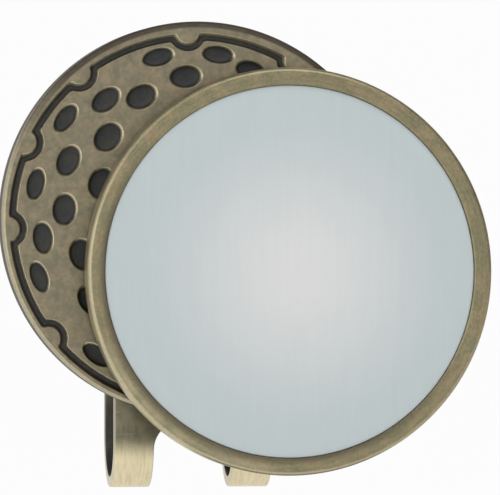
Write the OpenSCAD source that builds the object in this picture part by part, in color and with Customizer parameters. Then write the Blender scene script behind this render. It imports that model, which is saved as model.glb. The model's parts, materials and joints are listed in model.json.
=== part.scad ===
// Cap clip with a magnetic ball marker.
// X is to the right, the faces look along -Y and Z is up. The origin lies on the clip disc's
// centre axis, at the back of the strip, where the brim of a cap rests.

/* [Marker] */
// Outer diameter of the ball marker
marker_d = 25.4; // [24:0.1:28]
// Thickness of the marker's cast body
marker_t = 2.1; // [2.1:0.1:2.8]
// Width of the raised ring round the insert
ring_w = 1.1; // [0.9:0.1:1.6]
// Depth of the recess inside the ring
recess_depth = 0.7; // [0.6:0.05:0.8]
// Round along the marker's outer edges
marker_round = 0.3; // [0.1:0.05:0.4]
// Thickness of the brushed metal insert
insert_t = 0.4; // [0.3:0.05:0.45]
// Diameter of the steel disc that the magnet pulls
armature_d = 14; // [10:0.5:18]
// Thickness of that steel disc
armature_t = 0.8; // [0.6:0.05:0.8]

/* [Marker place] */
// How far the marker stands off the clip's centre
marker_shift = 6.4; // [0:0.1:8]
// Direction of that shift, in degrees below the horizontal
shift_fall = 31; // [0:1:90]

/* [Clip disc] */
// Diameter of the clip's disc
clip_d = 24.6; // [24.4:0.1:25]
// Thickness of the clip's disc
clip_t = 2.4; // [2.4:0.1:3]
// Round along the front edge of the disc
rim_round = 0.35; // [0.2:0.05:0.4]
// How far the dimpled field lies below the rim
field_drop = 0.1; // [0.05:0.05:0.2]

/* [Relief] */
// Radius of the middle of the groove inside the rim
groove_r = 11.5; // [11.4:0.05:11.6]
// Width of the groove
groove_w = 0.4; // [0.3:0.05:0.5]
// Depth of the groove below the field
groove_depth = 0.3; // [0.2:0.05:0.4]
// Radius of the tabs that the rim sends into the field
tab_r = 0.8; // [0.6:0.05:0.9]
// Width of a dimple at the middle of the disc
dimple_d = 2.05; // [1.8:0.05:2.1]
// Depth of a dimple below the field
dimple_depth = 0.35; // [0.2:0.05:0.4]
// Radius of the ball that the dimples are laid out on
ball_r = 12.4; // [12.2:0.1:14]

/* [Clip magnet] */
// Diameter of the magnet
magnet_d = 9; // [7:0.5:9.5]
// Thickness of the magnet
magnet_t = 1.2; // [0.8:0.1:1.2]

/* [Spring strip] */
// Width of the strip
strip_w = 10; // [9.5:0.1:12]
// Thickness of the strip
strip_t = 0.7; // [0.5:0.05:0.8]
// Room between the two runs of the strip, where the brim goes
brim_gap = 4.2; // [4.1:0.1:5]
// Height of the bottom bend's centre
bend_z = -14.1; // [-15:0.1:-14]
// Height of the front plate's rounded top
plate_top = 9.4; // [9.2:0.1:10]
// Width of the slot that parts the two legs
slot_w = 5; // [4.6:0.1:5.4]
// Height of the slot's top on the front run
front_slot_top = -12.7; // [-13:0.1:-12.5]
// Height of the slot's top on the rear run
rear_slot_top = -8; // [-9:0.5:-6]

/* [Spring arm] */
// Height at which the rear run starts to lean forward
lean_z = -9; // [-9.4:0.1:-8.5]
// Height of the pinch line
pinch_z = 3; // [1:0.5:4]
// Room left at the pinch line when the arm is closed
pinch_gap = 0.5; // [0.3:0.1:1.5]
// Height of the flared tip
tip_z = 8; // [7:0.5:9]
// How far the tip flares back from the pinch line
tip_flare = 1.8; // [1:0.1:2.5]

/* [Rivets] */
// Diameter of a rivet's shank
rivet_d = 1.4; // [1:0.1:1.6]
// Diameter of a rivet's head
rivet_head_d = 2.6; // [2:0.1:2.8]
// Height of the domed head
rivet_head_t = 0.5; // [0.3:0.05:0.6]
// Distance of each rivet from the disc's centre
rivet_r = 7.4; // [7:0.1:7.6]

/* [Hidden] */

$fn = 96;
eps = 0.01;
bond_t = 0.1;            // every film of adhesive
seat_gap = 0.05;         // room beside or behind a seated piece
slide_gap = 0.05;        // room between the marker's back and the clip's rim
pin_hole_depth = 1.1;
back_round = 0.2;
ring_chamfer = 0.15;
strip_split = 0.4;       // room between the two halves of the bottom bend
slot_round = 1.8;
arc_step = 6;            // degrees between the points of a bend

clip_r = clip_d / 2;
marker_r = marker_d / 2;
recess_r = marker_r - ring_w;
insert_r = recess_r - seat_gap;
rim_inner_r = groove_r + groove_w / 2;
tab_centre_r = rim_inner_r + 0.15;
tab_groove_r = tab_r + groove_w;
field_z = clip_t - field_drop;
web_z = armature_t + bond_t + seat_gap;
dome_r = (pow(rivet_head_d / 2, 2) + pow(rivet_head_t, 2)) / (2 * rivet_head_t);
recess_z = marker_t - recess_depth;

strip_mid = strip_t / 2;
bend_mid_r = (brim_gap + strip_t) / 2;
bend_mid_y = brim_gap / 2;
bend_low_z = bend_z - bend_mid_r;
disc_back_y = -strip_t;
rim_y = disc_back_y - clip_t;
marker_back_y = rim_y - slide_gap;

// The tabs stand on both sides of one axis across the face.
tab_axis = 155.5;
tab_steps = [27, 63, 98, 126, 153];
tab_bearings = concat([tab_axis, tab_axis + 180],
                      [for (s = tab_steps) tab_axis + s],
                      [for (s = tab_steps) tab_axis - s]);

// The dimples lie in rows round the centre: distance out, then each bearing in the row.
dimple_rows = [
    [10.6, [200, 233]],
    [10.4, [83, 104, 143, 168, 267, 295, 322, 349, 16, 43]],
    [9.8, [70, 187]],
    [9.4, [128]],
    [8.9, [95, 156, 253, 281, 308, 335, 2, 29]],
    [8.4, [115, 176, 217]],
    [7.6, [138, 197]],
    [7.3, [240, 267, 295, 322, 349, 16, 43, 62]],
    [6.9, [82]],
    [6.4, [160]],
    [5, [20, 60, 100, 140, 180, 220, 260, 300, 340]],
    [2.6, [16, 88, 160, 232, 304]],
    [0, [0]]
];

// Middle line of the front run, from the bottom bend up: y, z and the radius of the corner.
plate_line = [
    [bend_mid_y - strip_split / 2, bend_low_z, 0],
    [-strip_mid, bend_low_z, bend_mid_r - strip_split / 2],
    [-strip_mid, plate_top, 0]
];

// Middle line of the rear run, from the bottom bend up to the flared tip.
arm_line = [
    [bend_mid_y + strip_split / 2, bend_low_z, 0],
    [brim_gap + strip_mid, bend_low_z, bend_mid_r - strip_split / 2],
    [brim_gap + strip_mid, lean_z, 4],
    [pinch_gap + strip_mid, pinch_z, 3],
    [pinch_gap + strip_mid + tip_flare, tip_z, 0]
];

// Direction of the step from p to q, in degrees.
function heading(p, q) = atan2(q[1] - p[1], q[0] - p[0]);

// Turn from heading a to heading b, between -180 and 180.
function turn(a, b) = (b - a + 540) % 360 - 180;

// Points of one side of a bent strip, at the signed distance d to the left of its middle line.
function side(line, d) = let (last = len(line) - 1) concat(
    [let (h = heading(line[0], line[1])) [line[0][0] - d * sin(h), line[0][1] + d * cos(h)]],
    [for (i = [1 : last - 1])
        let (a = heading(line[i - 1], line[i]), b = heading(line[i], line[i + 1]),
             t = turn(a, b), s = sign(t), r = line[i][2], n = ceil(abs(t) / arc_step),
             back = r * tan(abs(t) / 2),
             cx = line[i][0] - back * cos(a) - s * r * sin(a),
             cz = line[i][1] - back * sin(a) + s * r * cos(a))
        for (k = [0 : n]) let (h = a + t * k / n)
            [cx + (s * r - d) * sin(h), cz - (s * r - d) * cos(h)]],
    [let (h = heading(line[last - 1], line[last]))
        [line[last][0] - d * sin(h), line[last][1] + d * cos(h)]]);

function reversed(list) = [for (i = [len(list) - 1 : -1 : 0]) list[i]];

// Stands a piece that was drawn face up so that it faces -Y, with its back at y.
module face_front(y) {
    translate([0, y, 0]) rotate([90, 0, 0]) children();
}

// Puts a piece of the marker at the marker's place on the clip.
module at_marker() {
    translate([marker_shift * cos(shift_fall), 0, -marker_shift * sin(shift_fall)])
        face_front(marker_back_y) children();
}

// A flat disc with rounded edges, standing on z = 0.
module round_edged_disc(r, h, top, bottom) {
    rotate_extrude() {
        square([r - max(top, bottom), h]);
        translate([0, bottom]) square([r, h - top - bottom]);
        square([r - bottom, bottom + eps]);
        translate([0, h - top - eps]) square([r - top, top + eps]);
        translate([r - top, h - top]) circle(top);
        translate([r - bottom, bottom]) circle(bottom);
    }
}

// A strip that follows a middle line in the YZ plane, as wide as the whole strip.
module bent_strip(line) {
    rotate([90, 0, 90])
        linear_extrude(height = strip_w, center = true)
            polygon(concat(side(line, strip_mid), reversed(side(line, -strip_mid))));
}

// Everything inside a tongue with a half-round top, seen from the front.
module tongue(top) {
    rotate([90, 0, 0])
        linear_extrude(height = 30, center = true) {
            translate([-strip_w / 2, -20]) square([strip_w, 20 + top - strip_w / 2]);
            translate([0, top - strip_w / 2]) circle(strip_w / 2);
        }
}

// The slot between the legs, with round corners at its top, cut from y0 to y1.
module leg_slot(top, y0, y1) {
    translate([0, y1, 0]) rotate([90, 0, 0])
        linear_extrude(height = y1 - y0) {
            translate([-slot_w / 2, -20]) square([slot_w, 20 + top - slot_round]);
            translate([slot_round - slot_w / 2, -20]) square([slot_w - 2 * slot_round, 20 + top]);
            for (s = [-1, 1])
                translate([s * (slot_w / 2 - slot_round), top - slot_round]) circle(slot_round);
        }
}

// Outline of one dimple: a circle on the ball, seen straight on, so it narrows outward.
module dimple_outline(distance) {
    shrink = sqrt(1 - pow(distance / ball_r, 2));
    polygon([for (a = [0 : 18 : 359]) dimple_d / 2 * [shrink * cos(a), sin(a)]]);
}

module dimples() {
    for (row = dimple_rows)
        for (bearing = row[1])
            rotate(bearing)
                translate([row[0], 0, field_z - dimple_depth])
                    linear_extrude(height = clip_t)
                        dimple_outline(row[0]);
}

module tabs() {
    for (bearing = tab_bearings)
        rotate(bearing)
            translate([tab_centre_r, 0, 0]) cylinder(r = tab_r, h = 2 * clip_t);
}

// The sunken field: everything inside the rim except the tabs.
module field_cut() {
    difference() {
        translate([0, 0, field_z]) cylinder(r = rim_inner_r, h = 1);
        tabs();
    }
}

// The groove that runs inside the rim and round each tab.
module groove_cut() {
    difference() {
        translate([0, 0, field_z - groove_depth]) intersection() {
            cylinder(r = rim_inner_r, h = 1);
            union() {
                difference() {
                    cylinder(r = rim_inner_r + 1, h = 1);
                    translate([0, 0, -1]) cylinder(r = rim_inner_r - groove_w, h = 3);
                }
                for (bearing = tab_bearings)
                    rotate(bearing)
                        translate([tab_centre_r, 0, 0]) cylinder(r = tab_groove_r, h = 1);
            }
        }
        tabs();
    }
}

module at_rivets() {
    for (s = [-1, 1])
        translate([0, s * rivet_r, 0]) children();
}

module clip_disc() {
    color([0.49, 0.46, 0.38])
        face_front(disc_back_y)
            difference() {
                round_edged_disc(clip_r, clip_t, rim_round, back_round);
                field_cut();
                groove_cut();
                dimples();
                translate([0, 0, -1])
                    cylinder(d = magnet_d + 2 * seat_gap, h = 1 + magnet_t + bond_t + seat_gap);
                at_rivets() translate([0, 0, -1])
                    cylinder(d = rivet_d + 2 * seat_gap, h = 1 + pin_hole_depth);
            }
}

module clip_magnet() {
    color([0.66, 0.66, 0.67])
        face_front(disc_back_y)
            translate([0, 0, seat_gap]) round_edged_disc(magnet_d / 2, magnet_t, 0.1, 0.1);
}

module magnet_bond() {
    color([0.85, 0.82, 0.7])
        face_front(disc_back_y)
            translate([0, 0, seat_gap + magnet_t]) cylinder(d = magnet_d - 0.4, h = bond_t);
}

module clip_strip() {
    color([0.6, 0.56, 0.44])
        difference() {
            intersection() {
                bent_strip(plate_line);
                tongue(plate_top);
            }
            leg_slot(front_slot_top, -2, brim_gap);
            face_front(1) at_rivets() cylinder(d = rivet_d + 2 * seat_gap, h = 3);
        }
}

module clip_rivets() {
    color([0.7, 0.66, 0.55])
        face_front(0) at_rivets() {
            cylinder(d = rivet_d, h = strip_t + pin_hole_depth - seat_gap);
            intersection() {
                translate([0, 0, -rivet_head_t]) cylinder(d = rivet_head_d, h = rivet_head_t);
                translate([0, 0, dome_r - rivet_head_t]) sphere(r = dome_r);
            }
        }
}

module clip_arm() {
    color([0.58, 0.54, 0.42])
        difference() {
            intersection() {
                bent_strip(arm_line);
                tongue(tip_z);
            }
            leg_slot(rear_slot_top, 0, 12);
        }
}

module marker_body() {
    color([0.54, 0.5, 0.39])
        at_marker()
            difference() {
                round_edged_disc(marker_r, marker_t, marker_round, marker_round);
                translate([0, 0, recess_z]) cylinder(r = recess_r, h = 2);
                translate([0, 0, marker_t - ring_chamfer])
                    cylinder(r1 = recess_r, r2 = recess_r + 1, h = 1);
                translate([0, 0, -1]) cylinder(d = armature_d + 2 * seat_gap, h = 1 + web_z);
            }
}

module marker_insert() {
    color([0.82, 0.84, 0.85])
        at_marker()
            translate([0, 0, recess_z + bond_t]) cylinder(r = insert_r, h = insert_t);
}

module insert_bond() {
    color([0.9, 0.9, 0.86])
        at_marker()
            translate([0, 0, recess_z]) cylinder(r = insert_r - 0.3, h = bond_t);
}

module marker_armature() {
    color([0.62, 0.63, 0.65])
        at_marker()
            translate([0, 0, seat_gap]) cylinder(d = armature_d, h = armature_t);
}

module armature_bond() {
    color([0.85, 0.82, 0.7])
        at_marker()
            translate([0, 0, seat_gap + armature_t]) cylinder(d = armature_d - 0.6, h = bond_t);
}

clip_disc();
clip_magnet();
magnet_bond();
clip_strip();
clip_rivets();
clip_arm();
marker_body();
marker_insert();
insert_bond();
marker_armature();
armature_bond();
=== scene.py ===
import json
from math import acos, atan2, ceil, cos, hypot, pi, radians, sin, tan

import bmesh
import bpy
from mathutils import Matrix, Vector


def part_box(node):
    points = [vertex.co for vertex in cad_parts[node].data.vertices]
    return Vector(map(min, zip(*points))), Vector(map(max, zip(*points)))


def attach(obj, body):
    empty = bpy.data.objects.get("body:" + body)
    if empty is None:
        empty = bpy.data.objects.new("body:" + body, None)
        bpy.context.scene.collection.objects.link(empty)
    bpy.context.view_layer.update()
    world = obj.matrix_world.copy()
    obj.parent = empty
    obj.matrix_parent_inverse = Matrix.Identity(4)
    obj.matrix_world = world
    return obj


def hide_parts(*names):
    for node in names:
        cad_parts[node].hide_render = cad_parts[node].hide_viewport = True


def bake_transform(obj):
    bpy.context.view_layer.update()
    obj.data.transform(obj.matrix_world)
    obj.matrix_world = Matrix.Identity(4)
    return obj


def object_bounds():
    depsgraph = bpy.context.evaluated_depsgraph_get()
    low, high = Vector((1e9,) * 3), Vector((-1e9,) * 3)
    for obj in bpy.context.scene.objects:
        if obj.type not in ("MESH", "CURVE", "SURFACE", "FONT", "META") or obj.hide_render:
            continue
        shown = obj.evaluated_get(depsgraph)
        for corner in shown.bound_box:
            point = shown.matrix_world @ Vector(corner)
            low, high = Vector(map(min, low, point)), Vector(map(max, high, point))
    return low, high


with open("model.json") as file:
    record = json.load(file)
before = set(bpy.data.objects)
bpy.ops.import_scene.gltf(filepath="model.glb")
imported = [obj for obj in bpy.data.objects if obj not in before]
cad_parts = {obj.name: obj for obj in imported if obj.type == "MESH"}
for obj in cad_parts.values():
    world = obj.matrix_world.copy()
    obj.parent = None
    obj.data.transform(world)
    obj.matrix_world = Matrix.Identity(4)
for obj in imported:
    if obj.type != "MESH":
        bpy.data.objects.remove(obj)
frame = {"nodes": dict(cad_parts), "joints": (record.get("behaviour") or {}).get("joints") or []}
cadLow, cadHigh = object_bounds()
mm = 0.001
nodes = frame["nodes"]
print("frame loaded:", len(nodes), "nodes")


# Small tools for modelling come first.
def deselectAll():
    if bpy.context.mode != "OBJECT":
        bpy.ops.object.mode_set(mode="OBJECT")
    bpy.ops.object.select_all(action="DESELECT")


def startLoop(name, points):
    # A circle is added and its vertices are laid on the points, in order.
    deselectAll()
    bpy.ops.mesh.primitive_circle_add(vertices=len(points), radius=mm, fill_type="NOTHING")
    piece = bpy.context.object
    piece.name = piece.data.name = name
    bpy.ops.object.mode_set(mode="EDIT")
    bpy.ops.mesh.select_all(action="SELECT")
    mesh = bmesh.from_edit_mesh(piece.data)
    order = mesh.verts.layers.int.new("order")
    for place, vertex in enumerate(mesh.verts):
        vertex[order] = place
        vertex.co = points[place]
    bmesh.update_edit_mesh(piece.data)
    return piece


def nextLoop(piece, points):
    # The open edge is extruded, and the new vertices are laid on the next loop.
    bpy.ops.mesh.extrude_region_move(TRANSFORM_OT_translate={"value": (0, 0, 0)})
    mesh = bmesh.from_edit_mesh(piece.data)
    order = mesh.verts.layers.int["order"]
    for vertex in mesh.verts:
        if vertex.select:
            vertex.co = points[vertex[order]]
    bmesh.update_edit_mesh(piece.data)


def finishMesh(piece, angle=32):
    # Doubles are merged, normals turned outwards and the shading smoothed.
    if bpy.context.mode != "EDIT_MESH":
        deselectAll()
        piece.select_set(True)
        bpy.context.view_layer.objects.active = piece
        bpy.ops.object.mode_set(mode="EDIT")
    bpy.ops.mesh.select_mode(type="VERT")
    bpy.ops.mesh.select_all(action="SELECT")
    bpy.ops.mesh.remove_doubles(threshold=0.0005 * mm)
    bpy.ops.mesh.normals_make_consistent(inside=False)
    deselectAll()
    if "order" in piece.data.attributes:
        piece.data.attributes.remove(piece.data.attributes["order"])
    piece.select_set(True)
    bpy.context.view_layer.objects.active = piece
    bpy.ops.object.shade_smooth_by_angle(angle=radians(angle))
    print("made", piece.name, len(piece.data.polygons), "faces")
    return piece


def roundedLine(corners, arcStep=15):
    # Points of a line with an arc at each corner that has a radius.
    points = [Vector(corners[0][:2])]
    for before, here, after in zip(corners, corners[1:], corners[2:]):
        corner, radius = Vector(here[:2]), here[2]
        inward = corner - Vector(before[:2])
        outward = Vector(after[:2]) - corner
        heading = atan2(inward.y, inward.x)
        turn = (atan2(outward.y, outward.x) - heading + 3 * pi) % (2 * pi) - pi
        if radius == 0 or abs(turn) < 0.001:
            points.append(corner)
            continue
        side = 1 if turn > 0 else -1
        centre = corner - radius * tan(abs(turn) / 2) * Vector((cos(heading), sin(heading)))
        centre += side * radius * Vector((-sin(heading), cos(heading)))
        steps = max(2, ceil(abs(turn) / radians(arcStep)))
        for step in range(steps + 1):
            angle = heading + turn * step / steps
            points.append(centre + side * radius * Vector((sin(angle), -cos(angle))))
    points.append(Vector(corners[-1][:2]))
    return points


def ringPoints(centre, radius, y, bearings):
    return [Vector((centre.x + radius * cos(b), y, centre.z + radius * sin(b))) for b in bearings]


def lathe(name, centre, profile, sides):
    # A ring is extruded along the profile of (radius, y), and both ends are closed.
    bearings = [2 * pi * i / sides for i in range(sides)]
    piece = startLoop(name, ringPoints(centre, *profile[0], bearings))
    for radius, y in profile[1:]:
        nextLoop(piece, ringPoints(centre, radius, y, bearings))
    bpy.ops.mesh.select_all(action="SELECT")
    bpy.ops.mesh.fill_holes(sides=0)
    return finishMesh(piece)


def boxCentre(node):
    low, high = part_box(node)
    return (low + high) / 2


# Small tools for materials.
def newMaterial(name):
    material = bpy.data.materials.new(name)
    material.use_nodes = True
    return material, material.node_tree, material.node_tree.nodes["Principled BSDF"]


def addNode(tree, kind, settings=None, **inputs):
    node = tree.nodes.new("ShaderNode" + kind)
    for key, value in (settings or {}).items():
        setattr(node, key, value)
    for key, value in inputs.items():
        socket = node.inputs[int(key[1:])] if key[0] == "i" and key[1:].isdigit() else node.inputs[key]
        if isinstance(value, bpy.types.NodeSocket):
            tree.links.new(value, socket)
        else:
            socket.default_value = value
    return node


def srgb(red, green, blue):
    def linear(value):
        value /= 255
        return value / 12.92 if value <= 0.04045 else ((value + 0.055) / 1.055) ** 2.4
    return (linear(red), linear(green), linear(blue), 1)


def millimetres(tree, scale=(1, 1, 1), place=(0, 0, 0)):
    # Object coordinates in millimetres, shifted so that the given place is at 0, then scaled.
    coords = addNode(tree, "TexCoord").outputs["Object"]
    shifted = addNode(tree, "VectorMath", {"operation": "SUBTRACT"}, i0=coords, i1=place)
    size = tuple(part / mm for part in scale)
    return addNode(tree, "VectorMath", {"operation": "MULTIPLY"}, i0=shifted.outputs[0], i1=size).outputs[0]


def noise(tree, vector, scale, detail=3, roughness=0.55):
    return addNode(tree, "TexNoise", None, Vector=vector, Scale=scale, Detail=detail,
                   Roughness=roughness).outputs["Fac"]


def remap(tree, value, fromLow, fromHigh, toLow=0, toHigh=1):
    return addNode(tree, "MapRange", {"interpolation_type": "SMOOTHSTEP"}, Value=value,
                   i1=fromLow, i2=fromHigh, i3=toLow, i4=toHigh).outputs[0]


def mathNode(tree, operation, first, second=0.0):
    return addNode(tree, "Math", {"operation": operation}, i0=first, i1=second).outputs[0]


def mixColour(tree, factor, first, second, blend="MIX"):
    node = addNode(tree, "Mix", {"data_type": "RGBA", "blend_type": blend}, i0=factor, i6=first, i7=second)
    return node.outputs[2]


# Antique brass, as it is on the cast discs and the strip, with painted highlights and painted shade worked
# into its colour.
litSide = (-0.6, 0, -0.8)    # the side the key light comes from; highlights and shade are painted towards it


def surfaceFields(tree, look):
    # What the finish and its painted light are worked out from: noises, depth, tilt, distance and the side
    # towards the light.
    place = millimetres(tree)
    axes = addNode(tree, "SeparateXYZ", None, Vector=place)
    normal = addNode(tree, "TexCoord").outputs["Normal"]
    centre = tuple(look["centre"])
    flat = millimetres(tree, (1, 0, 1), centre)
    fields = {
        "axes": axes, "y": axes.outputs["Y"], "normal": normal,
        "mottle": noise(tree, place, look["mottleScale"], 4),
        "grain": noise(tree, place, look["grainScale"], 4, 0.65),
        "radius": addNode(tree, "VectorMath", {"operation": "LENGTH"}, i0=flat).outputs["Value"],
        "tilt": mathNode(tree, "ABSOLUTE", addNode(tree, "SeparateXYZ", None, Vector=normal).outputs["Y"]),
        "lean": addNode(tree, "VectorMath", {"operation": "DOT_PRODUCT"}, i0=normal,
                        i1=litSide).outputs["Value"],
    }
    outward = addNode(tree, "VectorMath", {"operation": "NORMALIZE"}, i0=flat).outputs[0]
    fields["outward"] = addNode(tree, "SeparateXYZ", None, Vector=outward)
    fields["side"] = addNode(tree, "VectorMath", {"operation": "DOT_PRODUCT"}, i0=outward,
                             i1=litSide).outputs["Value"]
    if look.get("ringStreaks"):
        # Streaks that follow the ring: they change with the radius, and slowly round it.
        slow, fast = look["ringStreaks"]
        turned = addNode(tree, "VectorMath", {"operation": "SCALE"}, i0=outward, Scale=slow).outputs[0]
        lift = addNode(tree, "CombineXYZ", None, Y=mathNode(tree, "MULTIPLY", fields["radius"], fast))
        lined = addNode(tree, "VectorMath", {"operation": "ADD"}, i0=turned, i1=lift.outputs[0]).outputs[0]
    else:
        lined = millimetres(tree, look["brushScale"])
    fields["brush"] = noise(tree, lined, 1, 4, 0.65)
    return fields


def bareTone(tree, look, fields):
    warmth = remap(tree, fields["mottle"], 0.35, 0.65)
    tone = mixColour(tree, warmth, srgb(*look["cool"]), srgb(*look["warm"]))
    brushed = remap(tree, fields["brush"], 0.3, 0.7, 1 - look["brushDepth"], 1 + look["brushDepth"])
    speckled = remap(tree, fields["grain"], 0.3, 0.7, 1 - look["speckle"], 1 + look["speckle"])
    return addNode(tree, "VectorMath", {"operation": "SCALE"}, i0=tone,
                   Scale=mathNode(tree, "MULTIPLY", brushed, speckled)).outputs[0]


def edgeWearAndPaintedLight(tree, look, fields, tone):
    # Tilted edges near the face: partly worn bright, with a painted highlight strongest on the side towards
    # the light, and painted shade on the far side.
    edge = mathNode(tree, "MULTIPLY", remap(tree, fields["tilt"], 0.995, 0.93),
                    remap(tree, fields["y"], look["edgeMarkLevel"] + 0.15, look["edgeMarkLevel"]))
    wearAndHighlight = mathNode(tree, "MULTIPLY", edge, remap(tree, fields["lean"], *look["highlightLean"]))
    wearAndHighlight = mathNode(tree, "MULTIPLY", wearAndHighlight, remap(tree, fields["grain"], 0.2, 0.55, 0.6, 1))
    if look.get("wearHighlightRing"):
        radius, amount = look["wearHighlightRing"]
        wearAndHighlight = mathNode(tree, "MULTIPLY", wearAndHighlight, remap(tree, fields["radius"], radius, radius + 0.1, *amount))
    tone = mixColour(tree, mathNode(tree, "MULTIPLY", wearAndHighlight, look["wearAndHighlight"]), tone, srgb(*look["bright"]))
    # Painted shade on the edges that face away from the light.
    shade = mathNode(tree, "MULTIPLY", edge, remap(tree, fields["lean"], -0.05, -0.35))
    return mixColour(tree, mathNode(tree, "MULTIPLY", shade, look["shade"]), tone, srgb(*look["edgeDark"]))


def ringMarks(tree, look, fields, tone):
    # The marker's ring: a painted highlight band along its middle on the side towards the light, and
    # painted shade on its underside.
    middle, half, side, amount = look["highlightBand"]
    apart = mathNode(tree, "ABSOLUTE", mathNode(tree, "SUBTRACT", fields["radius"], middle))
    band = mathNode(tree, "MULTIPLY", remap(tree, apart, half, 0), remap(tree, fields["side"], *side))
    band = mathNode(tree, "MULTIPLY", band, remap(tree, fields["mottle"], 0.3, 0.6, 0.5, 1))
    tone = mixColour(tree, mathNode(tree, "MULTIPLY", band, amount), tone, srgb(*look["bright"]))
    below = remap(tree, fields["outward"].outputs["Z"], -0.84, -0.95)
    underShade = mathNode(tree, "MULTIPLY", remap(tree, fields["tilt"], 0.85, 0.6), below)
    return mixColour(tree, mathNode(tree, "MULTIPLY", underShade, look["underShade"]), tone, srgb(*look["edgeDark"]))


def darkZones(tree, look, fields, tone):
    # Zones by distance from the centre or by depth, each with its own strength and side: the zones by
    # distance are painted shade, and those by depth darken the back of the side walls.
    dull = 0.0
    for source, start, end, side, amount in look["zones"]:
        zone = remap(tree, fields[source], start, end)
        zone = mathNode(tree, "MULTIPLY", zone, remap(tree, fields["side"], *side))
        if source == "y":
            zone = mathNode(tree, "MULTIPLY", zone, remap(tree, fields["tilt"], 0.9, 0.6))
        zone = mathNode(tree, "MULTIPLY", zone, remap(tree, fields["mottle"], 0.25, 0.6, 0.8, 1))
        tone = mixColour(tree, mathNode(tree, "MULTIPLY", zone, amount), tone, srgb(*look["edgeDark"]))
        dull = mathNode(tree, "MAXIMUM", zone, dull)
    return tone, dull


def hollowShare(tree, look, fields):
    # 1 in the hollows of the front, where the dark patina was left when the face was buffed.
    start, full, end = look["patina"]
    inside = mathNode(tree, "MULTIPLY", remap(tree, fields["y"], start, full),
                      remap(tree, fields["y"], end + 0.1, end))
    return mathNode(tree, "MULTIPLY", inside,
                    remap(tree, fields["radius"], look["openRadius"], look["openRadius"] - 0.1))


def loopShadeShare(tree, look, fields):
    # 1 on the faces that look towards the middle of the strip's loop, where painted shade goes.
    middleY, bendZ = look["loop"]
    below = mathNode(tree, "SUBTRACT", bendZ, mathNode(tree, "MINIMUM", fields["axes"].outputs["Z"], bendZ))
    across = mathNode(tree, "SUBTRACT", middleY, fields["y"])
    inward = addNode(tree, "CombineXYZ", None, Y=across, Z=below).outputs[0]
    inward = addNode(tree, "VectorMath", {"operation": "NORMALIZE"}, i0=inward).outputs[0]
    facing = addNode(tree, "VectorMath", {"operation": "DOT_PRODUCT"}, i0=inward,
                     i1=fields["normal"]).outputs["Value"]
    low = remap(tree, fields["axes"].outputs["Z"], *look["loopTop"])
    return mathNode(tree, "MULTIPLY", remap(tree, facing, 0.3, 0.7), low)


def antiqueBrass(name, look):
    material, tree, shader = newMaterial(name)
    fields = surfaceFields(tree, look)
    tone = bareTone(tree, look, fields)
    if look.get("scratches"):
        # Fine bright scratches across the strip, few and faint.
        line = noise(tree, millimetres(tree, look["scratches"]), 1, 2, 0.4)
        scratch = remap(tree, line, 0.645, 0.68)
        tone = mixColour(tree, mathNode(tree, "MULTIPLY", scratch, look["scratchShare"]), tone,
                         srgb(*look["bright"]))
    if look.get("bendHighlight"):
        # The bend gets a painted highlight, in streaks along the strip.
        bend = remap(tree, fields["axes"].outputs["Z"], *look["bendHighlight"])
        streaked = remap(tree, fields["brush"], 0.25, 0.65, look["streakLow"], 1)
        tone = mixColour(tree, mathNode(tree, "MULTIPLY", bend, streaked), tone, srgb(*look["bright"]))
    if look.get("cutEdge"):
        # The sheared sides of the strip are paler than its faces.
        sideways = mathNode(tree, "ABSOLUTE", addNode(tree, "SeparateXYZ", None,
                                                      Vector=fields["normal"]).outputs["X"])
        cut = mathNode(tree, "MULTIPLY", remap(tree, sideways, 0.5, 0.8), look["cutEdge"])
        tone = mixColour(tree, cut, tone, srgb(*look["sheared"]))
    tone = edgeWearAndPaintedLight(tree, look, fields, tone)
    if look.get("highlightBand"):
        tone = ringMarks(tree, look, fields, tone)
    tone, dull = darkZones(tree, look, fields, tone)
    # The dark tone is patina in the hollows of the cast faces, and painted shade on the faces inside the
    # strip's loop.
    inside = loopShadeShare(tree, look, fields) if look.get("loop") else hollowShare(tree, look, fields)
    darkTone = mixColour(tree, remap(tree, fields["mottle"], 0.3, 0.7), srgb(*look["dark"]),
                         srgb(*look["darkWarm"]))
    pitted = remap(tree, fields["grain"], 0.3, 0.7, 0.82, 1.2)
    darkTone = addNode(tree, "VectorMath", {"operation": "SCALE"}, i0=darkTone, Scale=pitted).outputs[0]
    tone = mixColour(tree, inside, tone, darkTone)
    tree.links.new(tone, shader.inputs["Base Color"])
    dull = mathNode(tree, "MAXIMUM", inside, dull)
    metallic = remap(tree, dull, 0, 1, look["metallic"], look["metallic"] * 0.55)
    tree.links.new(metallic, shader.inputs["Metallic"])
    rough = remap(tree, fields["grain"], 0.3, 0.7, look["roughness"] - 0.04, look["roughness"] + 0.06)
    rough = mathNode(tree, "ADD", rough, mathNode(tree, "MULTIPLY", dull, 0.2))
    tree.links.new(rough, shader.inputs["Roughness"])
    height = mathNode(tree, "ADD", mathNode(tree, "MULTIPLY", fields["grain"], 0.6),
                      mathNode(tree, "MULTIPLY", fields["brush"], 0.4))
    bump = addNode(tree, "Bump", None, Strength=look["bump"], Distance=0.01 * mm, Height=height)
    tree.links.new(bump.outputs[0], shader.inputs["Normal"])
    return material


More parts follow.
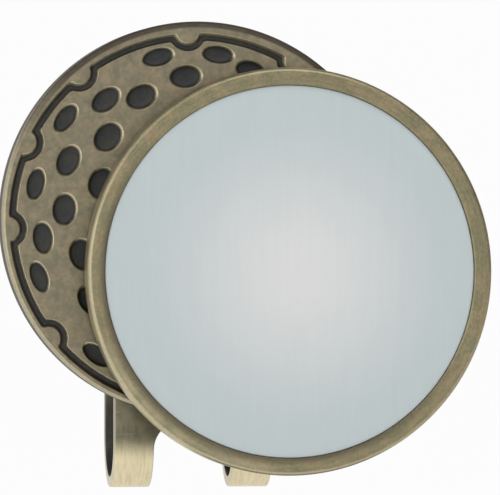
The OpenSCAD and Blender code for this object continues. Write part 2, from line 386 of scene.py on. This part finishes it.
# The clip's disc: rim, groove, tabs and dimples, in mm.
relief = {
    "fieldDrop": 0.1,
    "dimpleDepth": 0.35,
    "grooveDepth": 0.3,
    "grooveWidth": 0.4,
    "tabRadius": 0.8,
    "tabOut": 0.15,          # from the rim's inner edge to a tab's centre
    "grooveFloor": 0.24,     # depth of the groove as it is cast, with patina in it
    "grooveIn": 0.07,        # how much smaller its ring is than in the frame
    "grooveShift": (-0.16, -0.12),   # and how far the cast ring sits off the middle
    "rimRound": 0.26,
    "backRound": 0.2,
    "floorHalf": 0.1,        # half the width of the groove's flat floor
    "rimSlope": 0.08,        # width of the slope at the rim's inner edge
    "rimLip": 0.08,          # round between that slope and the rim
    "lip": 0.06,             # round of the groove's edge at the field
    "dimpleLip": 0.22,
    "guard": 0.02,           # flat margin outside each lip
    "tabDip": 0.3,           # the groove's floor lies this far inside its ring only at a tab
    "tabSpread": 8,          # degrees, less than between two tabs
    "tabPoints": 21,
    "gapStep": 1,            # degrees between points along the rim
    "dimpleSides": 48,
}

discLow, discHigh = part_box("clip_disc")
discCentre = boxCentre("clip_disc")
discRadius = (discHigh.x - discLow.x) / 2 / mm
rimY, discBackY = discLow.y / mm, discHigh.y / mm
fieldY = rimY + relief["fieldDrop"]


def flatIslands(node, level):
    # Outlines of the separate flat faces of a CAD node at one depth, as sets of (x, z) in mm.
    mesh = nodes[node].data
    owner = {}

    def find(key):
        while owner[key] != key:
            key = owner[key]
        return key

    def keyOf(index):
        place = mesh.vertices[index].co
        return (round(place.x / mm, 3), round(place.z / mm, 3))

    for face in mesh.polygons:
        if all(abs(mesh.vertices[i].co.y / mm - level) < 0.004 for i in face.vertices):
            keys = [keyOf(i) for i in face.vertices]
            for key in keys:
                owner.setdefault(key, key)
            for key in keys[1:]:
                owner[find(key)] = find(keys[0])
    islands = {}
    for key in owner:
        islands.setdefault(find(key), []).append(key)
    return list(islands.values())


def findDimples():
    # Centre distance, bearing and the two half-widths of each dimple, read from the CAD disc.
    found = []
    for island in flatIslands("clip_disc", fieldY + relief["dimpleDepth"]):
        middle = Vector((sum(p[0] for p in island), sum(p[1] for p in island))) / len(island)
        bearing = atan2(middle.y, middle.x)
        along = Vector((cos(bearing), sin(bearing)))
        across = Vector((-along.y, along.x))
        outward = max(abs((Vector(p) - middle).dot(along)) for p in island)
        sideways = max(abs((Vector(p) - middle).dot(across)) for p in island)
        found.append((middle.length, bearing, outward, sideways))
    return sorted(found)


def findTabs(outerRadius):
    # Bearings of the tabs: where the groove's floor comes well inside its own ring.
    floor = max(flatIslands("clip_disc", fieldY + relief["grooveDepth"]), key=len)
    inner = outerRadius - relief["grooveWidth"] - relief["tabDip"]
    bearings = sorted(atan2(z, x) % (2 * pi) for x, z in floor if hypot(x, z) < inner)
    groups = [[bearings[0]]]
    for bearing in bearings[1:]:
        if bearing - groups[-1][-1] < radians(relief["tabSpread"]):
            groups[-1].append(bearing)
        else:
            groups.append([bearing])
    if groups[0][0] + 2 * pi - groups[-1][-1] < radians(relief["tabSpread"]):
        groups[0] = [b - 2 * pi for b in groups.pop()] + groups[0]
    return [(group[0] + group[-1]) / 2 for group in groups]


def grooveOuterRadius():
    floor = max(flatIslands("clip_disc", fieldY + relief["grooveDepth"]), key=len)
    return max(hypot(x, z) for x, z in floor)


grooveOuter = grooveOuterRadius()
tabBearings = findTabs(grooveOuter)
dimples = findDimples()
print("relief read:", len(dimples), "dimples,", len(tabBearings), "tabs")


def grooveLoop(offset, y):
    # A loop that runs beside the groove's middle line and round every tab, offset outwards.
    outer = grooveOuter - relief["grooveIn"]
    shiftX, shiftZ = relief["grooveShift"]
    ring = outer - relief["grooveWidth"] / 2 + offset
    tabRing = relief["tabRadius"] + relief["grooveWidth"] / 2 - offset
    out = outer + relief["tabOut"]
    half = acos((ring ** 2 + out ** 2 - tabRing ** 2) / (2 * ring * out))
    reach = atan2(ring * sin(half), out - ring * cos(half))
    flat, corners = [], []
    for place, bearing in enumerate(tabBearings):
        wrap = 2 * pi if place == len(tabBearings) - 1 else 0
        after = tabBearings[(place + 1) % len(tabBearings)] + wrap
        for step in range(relief["tabPoints"]):
            swing = reach * (2 * step / (relief["tabPoints"] - 1) - 1)
            near, aside = out - tabRing * cos(swing), tabRing * sin(swing)
            if step in (0, relief["tabPoints"] - 1):
                corners.append(len(flat))
            flat.append(Vector((near * cos(bearing) - aside * sin(bearing),
                                near * sin(bearing) + aside * cos(bearing))))
        steps = max(4, round((after - bearing) / radians(relief["gapStep"])) - 4)
        for step in range(1, steps):
            angle = bearing + half + (after - bearing - 2 * half) * step / steps
            flat.append(ring * Vector((cos(angle), sin(angle))))
    for corner in corners:  # the corners beside each tab are softened a little
        left, right = flat[corner - 1], flat[(corner + 1) % len(flat)]
        flat[corner] = (left + 2 * flat[corner] + right) / 4
    return [Vector(((p.x + shiftX) * mm, y * mm, (p.y + shiftZ) * mm)) for p in flat]


dimpleMargin = 0.98 + 0.6 * relief["dimpleLip"] + relief["guard"]


def makeDimple():
    # One round dimple of radius 1 mm, open at its flat margin, at the centre of the face.
    lip, deep = relief["dimpleLip"], relief["dimpleDepth"]
    profile = roundedLine([(dimpleMargin, 0, 0), (0.98, 0, lip), (0.8, 0.78 * deep, 0.2),
                           (0.45, 0.97 * deep, 0.3), (0.12, deep, 0)], 15)
    bearings = [2 * pi * i / relief["dimpleSides"] for i in range(relief["dimpleSides"])]
    origin = Vector((0, 0, 0))
    piece = startLoop("dimple", ringPoints(origin, profile[0][0] * mm, fieldY * mm, bearings))
    for radius, depth in profile[1:]:
        nextLoop(piece, ringPoints(origin, radius * mm, (fieldY + depth) * mm, bearings))
    bpy.ops.mesh.edge_face_add()
    deselectAll()
    return piece


def makeClipDisc():
    lip, guard, width = relief["lip"], relief["guard"], relief["grooveWidth"] / 2
    floorY = fieldY + relief["grooveFloor"]
    across = roundedLine([
        (-width - lip - guard, fieldY, 0), (-width, fieldY, lip), (-relief["floorHalf"], floorY, 0.08),
        (relief["floorHalf"], floorY, 0.08), (width, rimY + 0.12, 0.06),
        (width + relief["rimSlope"], rimY, relief["rimLip"]),
        (width + relief["rimSlope"] + 0.6 * relief["rimLip"], rimY, 0)], 22)
    disc = startLoop("clipDisc", grooveLoop(*across[0]))
    for offset, y in across[1:]:
        nextLoop(disc, grooveLoop(offset, y))
    bearings = [atan2(p.z, p.x) for p in grooveLoop(*across[-1])]
    pocketLow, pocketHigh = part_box("clip_magnet")
    pocketRadius = (pocketHigh.x - pocketLow.x) / 2 / mm + 0.05
    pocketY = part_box("magnet_bond")[0].y / mm
    landRadius = grooveOuter - relief["grooveIn"] + hypot(*relief["grooveShift"])
    landRadius += relief["rimSlope"] + 0.6 * relief["rimLip"] + guard / 2
    around = roundedLine([
        (landRadius, rimY, 0), (discRadius, rimY, relief["rimRound"]),
        (discRadius, discBackY, relief["backRound"]), (pocketRadius, discBackY, 0.06),
        (pocketRadius, pocketY, 0)], 11)
    for radius, y in around[1:]:
        nextLoop(disc, ringPoints(Vector((0, 0, 0)), radius * mm, y * mm, bearings))
    bpy.ops.mesh.edge_face_add()
    deselectAll()

    pattern = makeDimple()
    copies = []
    shiftX, shiftZ = relief["grooveShift"]
    fieldRadius = grooveOuter - relief["grooveIn"] - 2 * width - lip - guard
    for distance, bearing, outward, sideways in dimples:
        # A dimple that would reach the groove is moved in a little.
        reach = fieldRadius + shiftX * cos(bearing) + shiftZ * sin(bearing) - 3 * guard
        distance = min(distance, reach - dimpleMargin * outward)
        deselectAll()
        pattern.select_set(True)
        bpy.context.view_layer.objects.active = pattern
        bpy.ops.object.duplicate(linked=False)
        copy = bpy.context.object
        copy.data.transform(
            Matrix.Translation((distance * cos(bearing) * mm, 0, distance * sin(bearing) * mm))
            @ Matrix.Rotation(-bearing, 4, "Y") @ Matrix.Diagonal((outward, 1, sideways, 1)))
        copies.append(copy)
    bpy.data.objects.remove(pattern)
    deselectAll()
    for copy in copies:
        copy.select_set(True)
    disc.select_set(True)
    bpy.context.view_layer.objects.active = disc
    bpy.ops.object.join()

    # The flat field is filled between the groove's edge and the dimples' margins.
    bpy.ops.object.mode_set(mode="EDIT")
    bpy.ops.mesh.select_mode(type="EDGE")
    bpy.ops.mesh.select_all(action="DESELECT")
    bpy.ops.mesh.select_non_manifold(extend=False, use_wire=False, use_boundary=True,
                                     use_multi_face=False, use_non_contiguous=False, use_verts=False)
    bpy.ops.mesh.fill(use_beauty=True)
    return finishMesh(disc, 40)


clipDisc = makeClipDisc()
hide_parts("clip_disc")


# The marker: cast body, insert and steel disc, in mm.
marker = {
    "recessDepth": 0.7,
    "ringWidth": 1.1,
    "innerFall": 0.05,       # how far the ring's inner slope falls
    "innerRun": 0.07,        # and how wide that slope is
    "insertGap": 0.015,
    "edgeRound": 0.3,
    "seat": 0.05,
    "sides": 192,
}

bodyLow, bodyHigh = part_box("marker_body")
markerCentre = boxCentre("marker_body")
markerRadius = (bodyHigh.x - bodyLow.x) / 2 / mm
recessRadius = markerRadius - marker["ringWidth"]
ringY, markerBackY = bodyLow.y / mm, bodyHigh.y / mm


def scaled(profile):
    return [(point.x * mm, point.y * mm) for point in profile]


def makeMarkerBody():
    recess = recessRadius
    floorY = ringY + marker["recessDepth"]
    slopeY = ringY + marker["innerFall"]
    steelLow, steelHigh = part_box("marker_armature")
    pocket = (steelHigh.x - steelLow.x) / 2 / mm + marker["seat"]
    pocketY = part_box("armature_bond")[0].y / mm
    line = [(3, floorY, 0), (recess, floorY, 0.05), (recess, slopeY, 0.04),
            (recess + marker["innerRun"], ringY, 0.06), (markerRadius, ringY, marker["edgeRound"]),
            (markerRadius, markerBackY, marker["edgeRound"]), (pocket, markerBackY, 0.06),
            (pocket, pocketY, 0.04), (3, pocketY, 0)]
    return lathe("markerBody", markerCentre, scaled(roundedLine(line, 11)), marker["sides"])


def makeInsert():
    low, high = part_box("marker_insert")
    frontY, backY = low.y / mm, high.y / mm
    radius = recessRadius - marker["insertGap"]
    line = [(2, frontY, 0), (radius - 0.2, frontY, 0), (radius, frontY, 0.04), (radius, backY, 0.03),
            (2, backY, 0)]
    return lathe("markerInsert", markerCentre, scaled(roundedLine(line, 20)), marker["sides"])


def makeSteelDisc():
    low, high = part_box("marker_armature")
    radius, frontY, backY = (high.x - low.x) / 2 / mm, low.y / mm, high.y / mm
    line = [(1, frontY, 0), (radius, frontY, 0.05), (radius, backY, 0.14), (1, backY, 0)]
    return lathe("markerSteel", markerCentre, scaled(roundedLine(line, 18)), 128)


markerBody = makeMarkerBody()
markerInsert = makeInsert()
markerSteel = makeSteelDisc()
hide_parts("marker_body")
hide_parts("marker_insert")
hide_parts("marker_armature")


# The spring strip: a punched blank, bent to shape, in mm.
strip = {
    "bevel": 0.1,
    "slotWidth": 5,
    "slotRound": 1.8,
    "frontSlotTop": -12.7,
    "rearSlotTop": -8,
    "seamZ": -9.8,           # where the bending part ends on the rear run
    "leanZ": -9,
    "leanRound": 4,
    "pinchZ": 3,
    "pinchRound": 3,
    "tipFlare": 1.8,
    "bendStep": 5,           # degrees between the cuts across a bend
}

plateLow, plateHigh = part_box("clip_strip")
armLow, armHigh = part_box("clip_arm")
stripHalf = (plateHigh.x - plateLow.x) / 2 / mm
stripThick = -plateLow.y / mm
frontMidY = -stripThick / 2
rearMidY = armHigh.y / mm - stripThick / 2
pinchMidY = armLow.y / mm + stripThick / 2
lowMidZ = plateLow.z / mm + stripThick / 2
plateTopZ, tipTopZ = plateHigh.z / mm, armHigh.z / mm
bendRound = (rearMidY - frontMidY) / 2


def pathOf(corners):
    # Samples along a strip's middle line: length so far, place and heading.
    points = roundedLine(corners, strip["bendStep"] / 2)
    samples, length = [], 0
    for i, point in enumerate(points):
        if i:
            length += (point - points[i - 1]).length
        back = point - points[i - 1] if i else points[1] - point
        ahead = points[i + 1] - point if i + 1 < len(points) else back
        heading = (back.normalized() + ahead.normalized()).normalized()
        samples.append((length, point, heading))
    return samples


def alongPath(samples, length):
    for (start, place, heading), (end, nextPlace, nextHeading) in zip(samples, samples[1:]):
        if length <= end or nextPlace is samples[-1][1]:
            share = (length - start) / (end - start)
            return place.lerp(nextPlace, share), heading.lerp(nextHeading, share).normalized()


def lengthAtZ(samples, z):
    # The length at which the path first passes a height.
    for (start, place, _), (end, nextPlace, _) in zip(samples, samples[1:]):
        if (place.y - z) * (nextPlace.y - z) <= 0 and place.y != nextPlace.y:
            return start + (end - start) * (z - place.y) / (nextPlace.y - place.y)


def arcPoints(x, z, radius, start, end, steps=10):
    angles = [radians(start + (end - start) * i / steps) for i in range(steps + 1)]
    return [(x + radius * cos(a), z + radius * sin(a)) for a in angles]


def bendBlank(name, samples, outline, cuts, seamLength):
    # The blank lies flat with its length along Z: outlined, cut across, thickened and bevelled.
    blank = startLoop(name, [Vector((x * mm, 0, s * mm)) for x, s in outline])
    bpy.ops.mesh.edge_face_add()
    for cut in cuts:
        bpy.ops.mesh.select_all(action="SELECT")
        bpy.ops.mesh.bisect(plane_co=(0, 0, cut * mm), plane_no=(0, 0, 1))
    bpy.ops.mesh.select_all(action="SELECT")
    bpy.ops.mesh.extrude_region_move(TRANSFORM_OT_translate={"value": (0, stripThick * mm, 0)})
    bpy.ops.mesh.select_all(action="SELECT")
    bpy.ops.mesh.normals_make_consistent(inside=False)
    bpy.ops.mesh.select_mode(type="EDGE")
    bpy.ops.mesh.select_all(action="DESELECT")
    mesh = bmesh.from_edit_mesh(blank.data)
    mesh.normal_update()
    for edge in mesh.edges:
        first, second = edge.verts
        flat = abs(first.co.y - second.co.y) < 0.01 * mm
        atSeam = all(abs(v.co.z / mm - seamLength) < 0.01 for v in edge.verts)
        sharp = len(edge.link_faces) == 2 and edge.calc_face_angle() > 1
        edge.select_set(flat and sharp and not atSeam)
    bmesh.update_edit_mesh(blank.data)
    bpy.ops.mesh.bevel(offset=strip["bevel"] * mm, segments=3, affect="EDGES")
    mesh = bmesh.from_edit_mesh(blank.data)
    for vertex in mesh.verts:
        x, height, length = vertex.co.x, vertex.co.y / mm - stripThick / 2, vertex.co.z / mm
        place, heading = alongPath(samples, length)
        outward = Vector((-heading.y, heading.x))
        bent = place + height * outward
        vertex.co = (x, bent.x * mm, bent.y * mm)
    bmesh.update_edit_mesh(blank.data)
    return finishMesh(blank, 40)


def cutsAlong(samples):
    # Cuts across the blank wherever its path turns.
    cuts = []
    for (_, _, before), (length, _, _), (_, _, after) in zip(samples, samples[1:], samples[2:]):
        if before.dot(after) < 0.99999:
            cuts.append(length)
    return cuts


def makePlate():
    # The front plate, both legs and the bottom bend, up to the seam on the rear run.
    samples = pathOf([(frontMidY, plateTopZ, 0), (frontMidY, lowMidZ, bendRound),
                      (rearMidY, lowMidZ, bendRound), (rearMidY, strip["seamZ"], 0)])
    end = samples[-1][0]
    slot, slotRound = strip["slotWidth"] / 2, strip["slotRound"]
    slotTop = plateTopZ - strip["frontSlotTop"]
    outline = arcPoints(0, stripHalf, stripHalf, 0, -180, 36)
    outline += [(-stripHalf, end), (-slot, end)]
    outline += arcPoints(-slot + slotRound, slotTop + slotRound, slotRound, 180, 270)
    outline += arcPoints(slot - slotRound, slotTop + slotRound, slotRound, 270, 360)
    outline += [(slot, end), (stripHalf, end)]
    return bendBlank("stripPlate", samples, outline, cutsAlong(samples), end)


def makeArm():
    # The rear run above the seam: leg stubs, slot top, pinch line and flared tip.
    samples = pathOf([(rearMidY, strip["seamZ"], 0), (rearMidY, strip["leanZ"], strip["leanRound"]),
                      (pinchMidY, strip["pinchZ"], strip["pinchRound"]),
                      (pinchMidY + strip["tipFlare"], tipTopZ - 0.1, 0)])
    end = samples[-1][0]
    slot, slotRound = strip["slotWidth"] / 2, strip["slotRound"]
    slotTop = lengthAtZ(samples, strip["rearSlotTop"])
    outline = [(stripHalf, 0), (slot, 0)]
    outline += arcPoints(slot - slotRound, slotTop - slotRound, slotRound, 0, 90)
    outline += arcPoints(-slot + slotRound, slotTop - slotRound, slotRound, 90, 180)
    outline += [(-slot, 0), (-stripHalf, 0)]
    outline += arcPoints(0, end - stripHalf, stripHalf, 180, 0, 36)
    return bendBlank("stripArm", samples, outline, cutsAlong(samples), 0)


stripPlate = makePlate()
stripArm = makeArm()
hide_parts("clip_strip")
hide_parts("clip_arm")


# The rivets, hammered over on the plate's back, in mm.
rivet = {
    "headRadius": 1.3,
    "headHeight": 0.5,
    "shankRadius": 0.7,
    "flat": 0.5,             # radius of the flat that the hammer leaves
    "sides": 64,
}


def makeRivets():
    low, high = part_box("clip_rivets")
    topCentre = Vector((0, 0, high.z - rivet["headRadius"] * mm))
    line = [(0.2, low.y / mm, 0), (rivet["shankRadius"], low.y / mm, 0), (rivet["shankRadius"], 0, 0),
            (rivet["headRadius"], 0, 0.05), (rivet["headRadius"], 0.16, 0.1),
            (rivet["flat"] + 0.3, rivet["headHeight"] - 0.03, 0.5), (0.2, rivet["headHeight"], 0)]
    top = lathe("rivetTop", topCentre, scaled(roundedLine(line, 15)), rivet["sides"])
    deselectAll()
    top.select_set(True)
    bpy.context.view_layer.objects.active = top
    bpy.ops.object.duplicate(linked=False)
    bottom = bpy.context.object
    bottom.name = bottom.data.name = "rivetBottom"
    bottom.data.transform(Matrix.Translation((0, 0, low.z + rivet["headRadius"] * mm - topCentre.z)))
    return top, bottom


rivets = makeRivets()
for head in rivets:
    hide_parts("clip_rivets")


anySide = (-2, -1.5)         # a range of sides that takes in every side
castLook = {
    "centre": discCentre,
    # bright serves the scratches, the wear and the painted highlights; edgeDark serves the painted shade
    # and the darker wall backs; dark and darkWarm serve the patina in the hollows and the painted shade in
    # the strip's loop.
    "cool": (124, 119, 99), "warm": (139, 128, 105), "bright": (212, 201, 168),
    "dark": (46, 48, 50), "darkWarm": (56, 55, 51), "edgeDark": (64, 54, 43),
    "mottleScale": 1.3, "brushScale": (2, 2, 2), "brushDepth": 0.13,
    "grainScale": 5, "speckle": 0.08,
    "edgeMarkLevel": fieldY + 0.15, "highlightLean": (0.05, 0.35), "wearAndHighlight": 0.78, "shade": 0.8,
    "wearHighlightRing": (discRadius - 0.45, (1, 0.7)),
    "zones": [("radius", discRadius - 0.45, discRadius - 0.3, (0.3, -0.3), 0.92),   # painted shade on the rim's far side from the light
              ("y", fieldY + 0.4, fieldY + 0.6, anySide, 0.85)],                    # the disc's side
    "patina": (fieldY + 0.03, fieldY + 0.25, fieldY + 0.45), "openRadius": discRadius - 0.45,
    "metallic": 0.8, "roughness": 0.42, "bump": 0.35,
}
markerLook = dict(
    castLook, centre=markerCentre, cool=(132, 127, 99), warm=(147, 134, 105), mottleScale=0.8,
    brushDepth=0.1, speckle=0.13, ringStreaks=(9, 7), edgeMarkLevel=ringY + 1.6, highlightLean=(-0.6, 1.05),
    wearAndHighlight=0.78, shade=0, wearHighlightRing=(recessRadius + 0.5, (0, 1)), underShade=0.7,
    highlightBand=(recessRadius + 0.68, 0.34, (0.8, 0.93), 0.26),
    # painted shade at the ring's inner edge on the lower left, whose slope faces away from the light; then
    # the back of the side wall darker
    zones=[("radius", recessRadius + 0.55, recessRadius, (-0.3, 0.5), 0.72),
           ("y", ringY + 1.7, ringY + 1.95, anySide, 0.8)],
    patina=(ringY + 0.25, ringY + 0.45, ringY + 0.8), openRadius=recessRadius + 0.3)
stripLook = dict(
    castLook, cool=(108, 105, 87), warm=(121, 115, 93), bright=(230, 217, 180), dark=(62, 61, 55),
    darkWarm=(76, 73, 64), wearAndHighlight=0.3, shade=0.4, edgeMarkLevel=-stripThick + 0.2, wearHighlightRing=None, zones=[],
    brushScale=(8, 0.7, 0.7), brushDepth=0.1, speckle=0.05,
    # Painted shade goes on the faces inside the loop, and a painted highlight on the bend.
    loop=((frontMidY + rearMidY) / 2, lowMidZ + bendRound), bendHighlight=(-13.6, -15.2), streakLow=0.74,
    loopTop=(-10.4, -12.2), scratches=(0.9, 4, 11), scratchShare=0.1, roughness=0.38,
    cutEdge=0.4, sheared=(176, 173, 160))
armLook = dict(stripLook, loop=(-stripHalf, lowMidZ))      # its inner face is the one that looks forward
rivetLook = dict(stripLook, cool=(166, 156, 128), warm=(184, 171, 140), bendHighlight=None, loop=None,
                 patina=(9, 10, 11))


def brushedInsert():
    material, tree, shader = newMaterial("brushedInsert")
    centre = tuple(markerCentre)
    place = millimetres(tree, (1, 1, 1), centre)
    # A painted highlight: light grey round a spot near the middle, fading to a cooler grey at the edge.
    glow = millimetres(tree, (1, 0, 1), (centre[0] + 0.6 * mm, centre[1], centre[2] - 0.1 * mm))
    distance = addNode(tree, "VectorMath", {"operation": "LENGTH"}, i0=glow).outputs["Value"]
    tone = mixColour(tree, remap(tree, distance, 0.5, 10.5), srgb(217, 217, 217), srgb(190, 200, 201))
    fine = noise(tree, millimetres(tree, (9, 1, 0.35), centre), 1, 4, 0.7)
    coarse = noise(tree, millimetres(tree, (1.6, 1, 0.12), centre), 1, 3, 0.6)
    streak = mathNode(tree, "ADD", mathNode(tree, "MULTIPLY", fine, 0.6),
                      mathNode(tree, "MULTIPLY", coarse, 0.4))
    shade = remap(tree, streak, 0.3, 0.7, 0.98, 1.018)
    tone = addNode(tree, "VectorMath", {"operation": "SCALE"}, i0=tone, Scale=shade).outputs[0]
    tree.links.new(tone, shader.inputs["Base Color"])
    shader.inputs["Metallic"].default_value = 0.35
    tree.links.new(remap(tree, fine, 0.3, 0.7, 0.34, 0.46), shader.inputs["Roughness"])
    grain = noise(tree, place, 14, 2)
    height = mathNode(tree, "ADD", fine, mathNode(tree, "MULTIPLY", grain, 0.2))
    bump = addNode(tree, "Bump", None, Strength=0.12, Distance=0.008 * mm, Height=height)
    tree.links.new(bump.outputs[0], shader.inputs["Normal"])
    return material


def platedSteel(name, colour, centre):
    # Nickel plate on turned steel, with rings round the centre.
    material, tree, shader = newMaterial(name)
    place = millimetres(tree, (1, 0, 1), tuple(centre))
    radius = addNode(tree, "VectorMath", {"operation": "LENGTH"}, i0=place).outputs["Value"]
    rings = noise(tree, addNode(tree, "CombineXYZ", None, X=radius).outputs[0], 9, 4, 0.7)
    spots = noise(tree, millimetres(tree), 1.3, 4)
    tone = mixColour(tree, remap(tree, spots, 0.3, 0.8), srgb(*colour),
                     srgb(*(part - 10 for part in colour)))
    shade = remap(tree, rings, 0.3, 0.7, 0.93, 1.05)
    tone = addNode(tree, "VectorMath", {"operation": "SCALE"}, i0=tone, Scale=shade).outputs[0]
    tree.links.new(tone, shader.inputs["Base Color"])
    shader.inputs["Metallic"].default_value = 0.9
    tree.links.new(remap(tree, spots, 0.3, 0.7, 0.26, 0.4), shader.inputs["Roughness"])
    bump = addNode(tree, "Bump", None, Strength=0.2, Distance=0.01 * mm, Height=rings)
    tree.links.new(bump.outputs[0], shader.inputs["Normal"])
    return material


def clearFilm():
    # Dried adhesive, slightly yellow, with small bubbles.
    material, tree, shader = newMaterial("clearFilm")
    bubbles = addNode(tree, "TexVoronoi", None, Vector=millimetres(tree), Scale=2.2).outputs["Distance"]
    cloud = noise(tree, millimetres(tree), 0.8, 3)
    tone = mixColour(tree, remap(tree, cloud, 0.3, 0.7), srgb(226, 219, 190), srgb(205, 194, 158))
    tone = mixColour(tree, remap(tree, bubbles, 0.16, 0.1), tone, srgb(240, 238, 226))
    tree.links.new(tone, shader.inputs["Base Color"])
    tree.links.new(remap(tree, cloud, 0.3, 0.7, 0.25, 0.4), shader.inputs["Roughness"])
    bump = addNode(tree, "Bump", None, Strength=0.3, Distance=0.03 * mm, Height=bubbles)
    tree.links.new(bump.outputs[0], shader.inputs["Normal"])
    return material


def paint(piece, material):
    piece.data.materials.clear()
    piece.data.materials.append(material)


castBrass = antiqueBrass("castBrass", castLook)
ringBrass = antiqueBrass("ringBrass", markerLook)
stripBrass = antiqueBrass("stripBrass", stripLook)
armBrass = antiqueBrass("armBrass", armLook)
rivetBrass = antiqueBrass("rivetBrass", rivetLook)
insertMetal = brushedInsert()
steelPlate = platedSteel("steelPlate", (178, 180, 184), markerCentre)
magnetPlate = platedSteel("magnetPlate", (190, 190, 192), discCentre)
film = clearFilm()

finishes = [
    (clipDisc, castBrass, "clip_casting", "clip"),
    (stripArm, armBrass, "strip_metal", "arm"),
    (rivets[0], rivetBrass, "rivet_metal", "clip"),
    (rivets[1], rivetBrass, "rivet_metal", "clip"),
    (markerBody, ringBrass, "marker_casting", "marker"),
    (markerInsert, insertMetal, "insert_metal", "marker"),
    (markerSteel, steelPlate, "armature_steel", "marker"),
]
for piece, material, slotName, body in finishes:
    paint(piece, material)
    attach(piece, body)
paint(stripPlate, stripBrass)
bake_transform(stripPlate)
paint(nodes["clip_magnet"], magnetPlate)
for bond in ("magnet_bond", "insert_bond", "armature_bond"):
    paint(nodes[bond], film)
print("finishes set")


# Floor, light and camera.
studio = {
    "azimuth": -8, "elevation": 0,
    "distance": 400,         # mm from the rim to the camera
    "frameWidth": 31.17,     # mm across the picture at the rim
    "aimRight": 3.2, "aimUp": -1.8,
    "floorDrop": 0.15, "wallY": 1500, "stageSize": 6000,
    "glow": 0.96,            # share of plain white in the stage as the camera sees it
    "bright": 1.5, "front": 0.81, "shade": 0.27,
    "lightFrom": (-0.52, -0.4, -0.75),
}


def seenDirectly(tree):
    # 1 for the rays that should find the stage plain white.
    path = addNode(tree, "LightPath")
    seen = mathNode(tree, "ADD", path.outputs["Is Camera Ray"], path.outputs["Is Glossy Ray"])
    return mathNode(tree, "MINIMUM", mathNode(tree, "ADD", seen, path.outputs["Is Transmission Ray"]), 1.0)


def makeWorld():
    # A soft studio that is bright from the lower left and dim from the upper right.
    world = bpy.data.worlds.new("studio")
    bpy.context.scene.world = world
    world.use_nodes = True
    tree = world.node_tree
    tree.nodes.clear()
    direction = addNode(tree, "TexCoord").outputs["Generated"]
    toward = Vector(studio["lightFrom"]).normalized()
    lean = addNode(tree, "VectorMath", {"operation": "DOT_PRODUCT"}, i0=direction,
                   i1=tuple(toward)).outputs["Value"]
    low = remap(tree, lean, -0.6, 0.3, studio["shade"], studio["front"])
    level = mathNode(tree, "ADD", low, remap(tree, lean, 0.35, 0.9, 0, studio["bright"] - studio["front"]))
    background = addNode(tree, "Background", None, Strength=level)
    background.inputs["Color"].default_value = (1, 1, 1, 1)
    output = addNode(tree, "OutputWorld")
    tree.links.new(background.outputs[0], output.inputs[0])


def makeStage():
    material, tree, shader = newMaterial("paleStage")
    shader.inputs["Base Color"].default_value = (0.92, 0.92, 0.92, 1)
    shader.inputs["Roughness"].default_value = 0.8
    shader.inputs["Specular IOR Level"].default_value = 0
    glow = addNode(tree, "Emission", None, Strength=1.0)
    share = mathNode(tree, "MULTIPLY", seenDirectly(tree), studio["glow"])
    mix = addNode(tree, "MixShader", None, i0=share, i1=shader.outputs[0], i2=glow.outputs[0])
    tree.links.new(mix.outputs[0], tree.nodes["Material Output"].inputs[0])
    slide = next(joint for joint in frame["joints"] if joint["name"] == "marker_slide")
    lowest = min(cadLow.z, bodyLow.z + min(slide["axis"][2] * reach for reach in slide["range_m"]))
    floorZ = lowest - studio["floorDrop"] * mm
    size, wallY = studio["stageSize"] * mm, studio["wallY"] * mm
    for name, place, turn in (("floor", (0, 0, floorZ), 0), ("backWall", (0, wallY, 0), pi / 2)):
        deselectAll()
        bpy.ops.mesh.primitive_plane_add(size=size, location=place, rotation=(turn, 0, 0))
        plane = bpy.context.object
        plane.name = name
        paint(plane, material)


def addLamp(name, place, target, size, power):
    lamp = bpy.data.lights.new(name, "AREA")
    lamp.shape = "DISK"
    lamp.size = size * mm
    lamp.energy = power
    lampObject = bpy.data.objects.new(name, lamp)
    bpy.context.scene.collection.objects.link(lampObject)
    lampObject.location = Vector(place) * mm
    aim = Vector(target) * mm - lampObject.location
    lampObject.rotation_euler = aim.to_track_quat("-Z", "Y").to_euler()


def makeCamera():
    turn, lift = radians(studio["azimuth"]), radians(studio["elevation"])
    back = Vector((sin(turn) * cos(lift), -cos(turn) * cos(lift), sin(lift)))
    right = Vector((cos(turn), sin(turn), 0))
    up = right.cross(-back)
    aim = Vector((0, rimY, 0)) + studio["aimRight"] * right + studio["aimUp"] * up
    camera = bpy.data.cameras.new("camera")
    camera.lens = camera.sensor_width * studio["distance"] / studio["frameWidth"]
    camera.clip_start, camera.clip_end = 10 * mm, 10
    cameraObject = bpy.data.objects.new("camera", camera)
    bpy.context.scene.collection.objects.link(cameraObject)
    cameraObject.location = (aim + studio["distance"] * back) * mm
    cameraObject.rotation_euler = (-back).to_track_quat("-Z", "Y").to_euler()
    bpy.context.scene.camera = cameraObject


makeWorld()
makeStage()
addLamp("softSide", (-170, -260, -5), (3, -3, -2), 260, 0.32)
addLamp("softTop", (60, -200, 260), (3, -3, -2), 220, 0.4)
makeCamera()
bpy.context.scene.view_settings.view_transform = "Standard"
print("studio set")
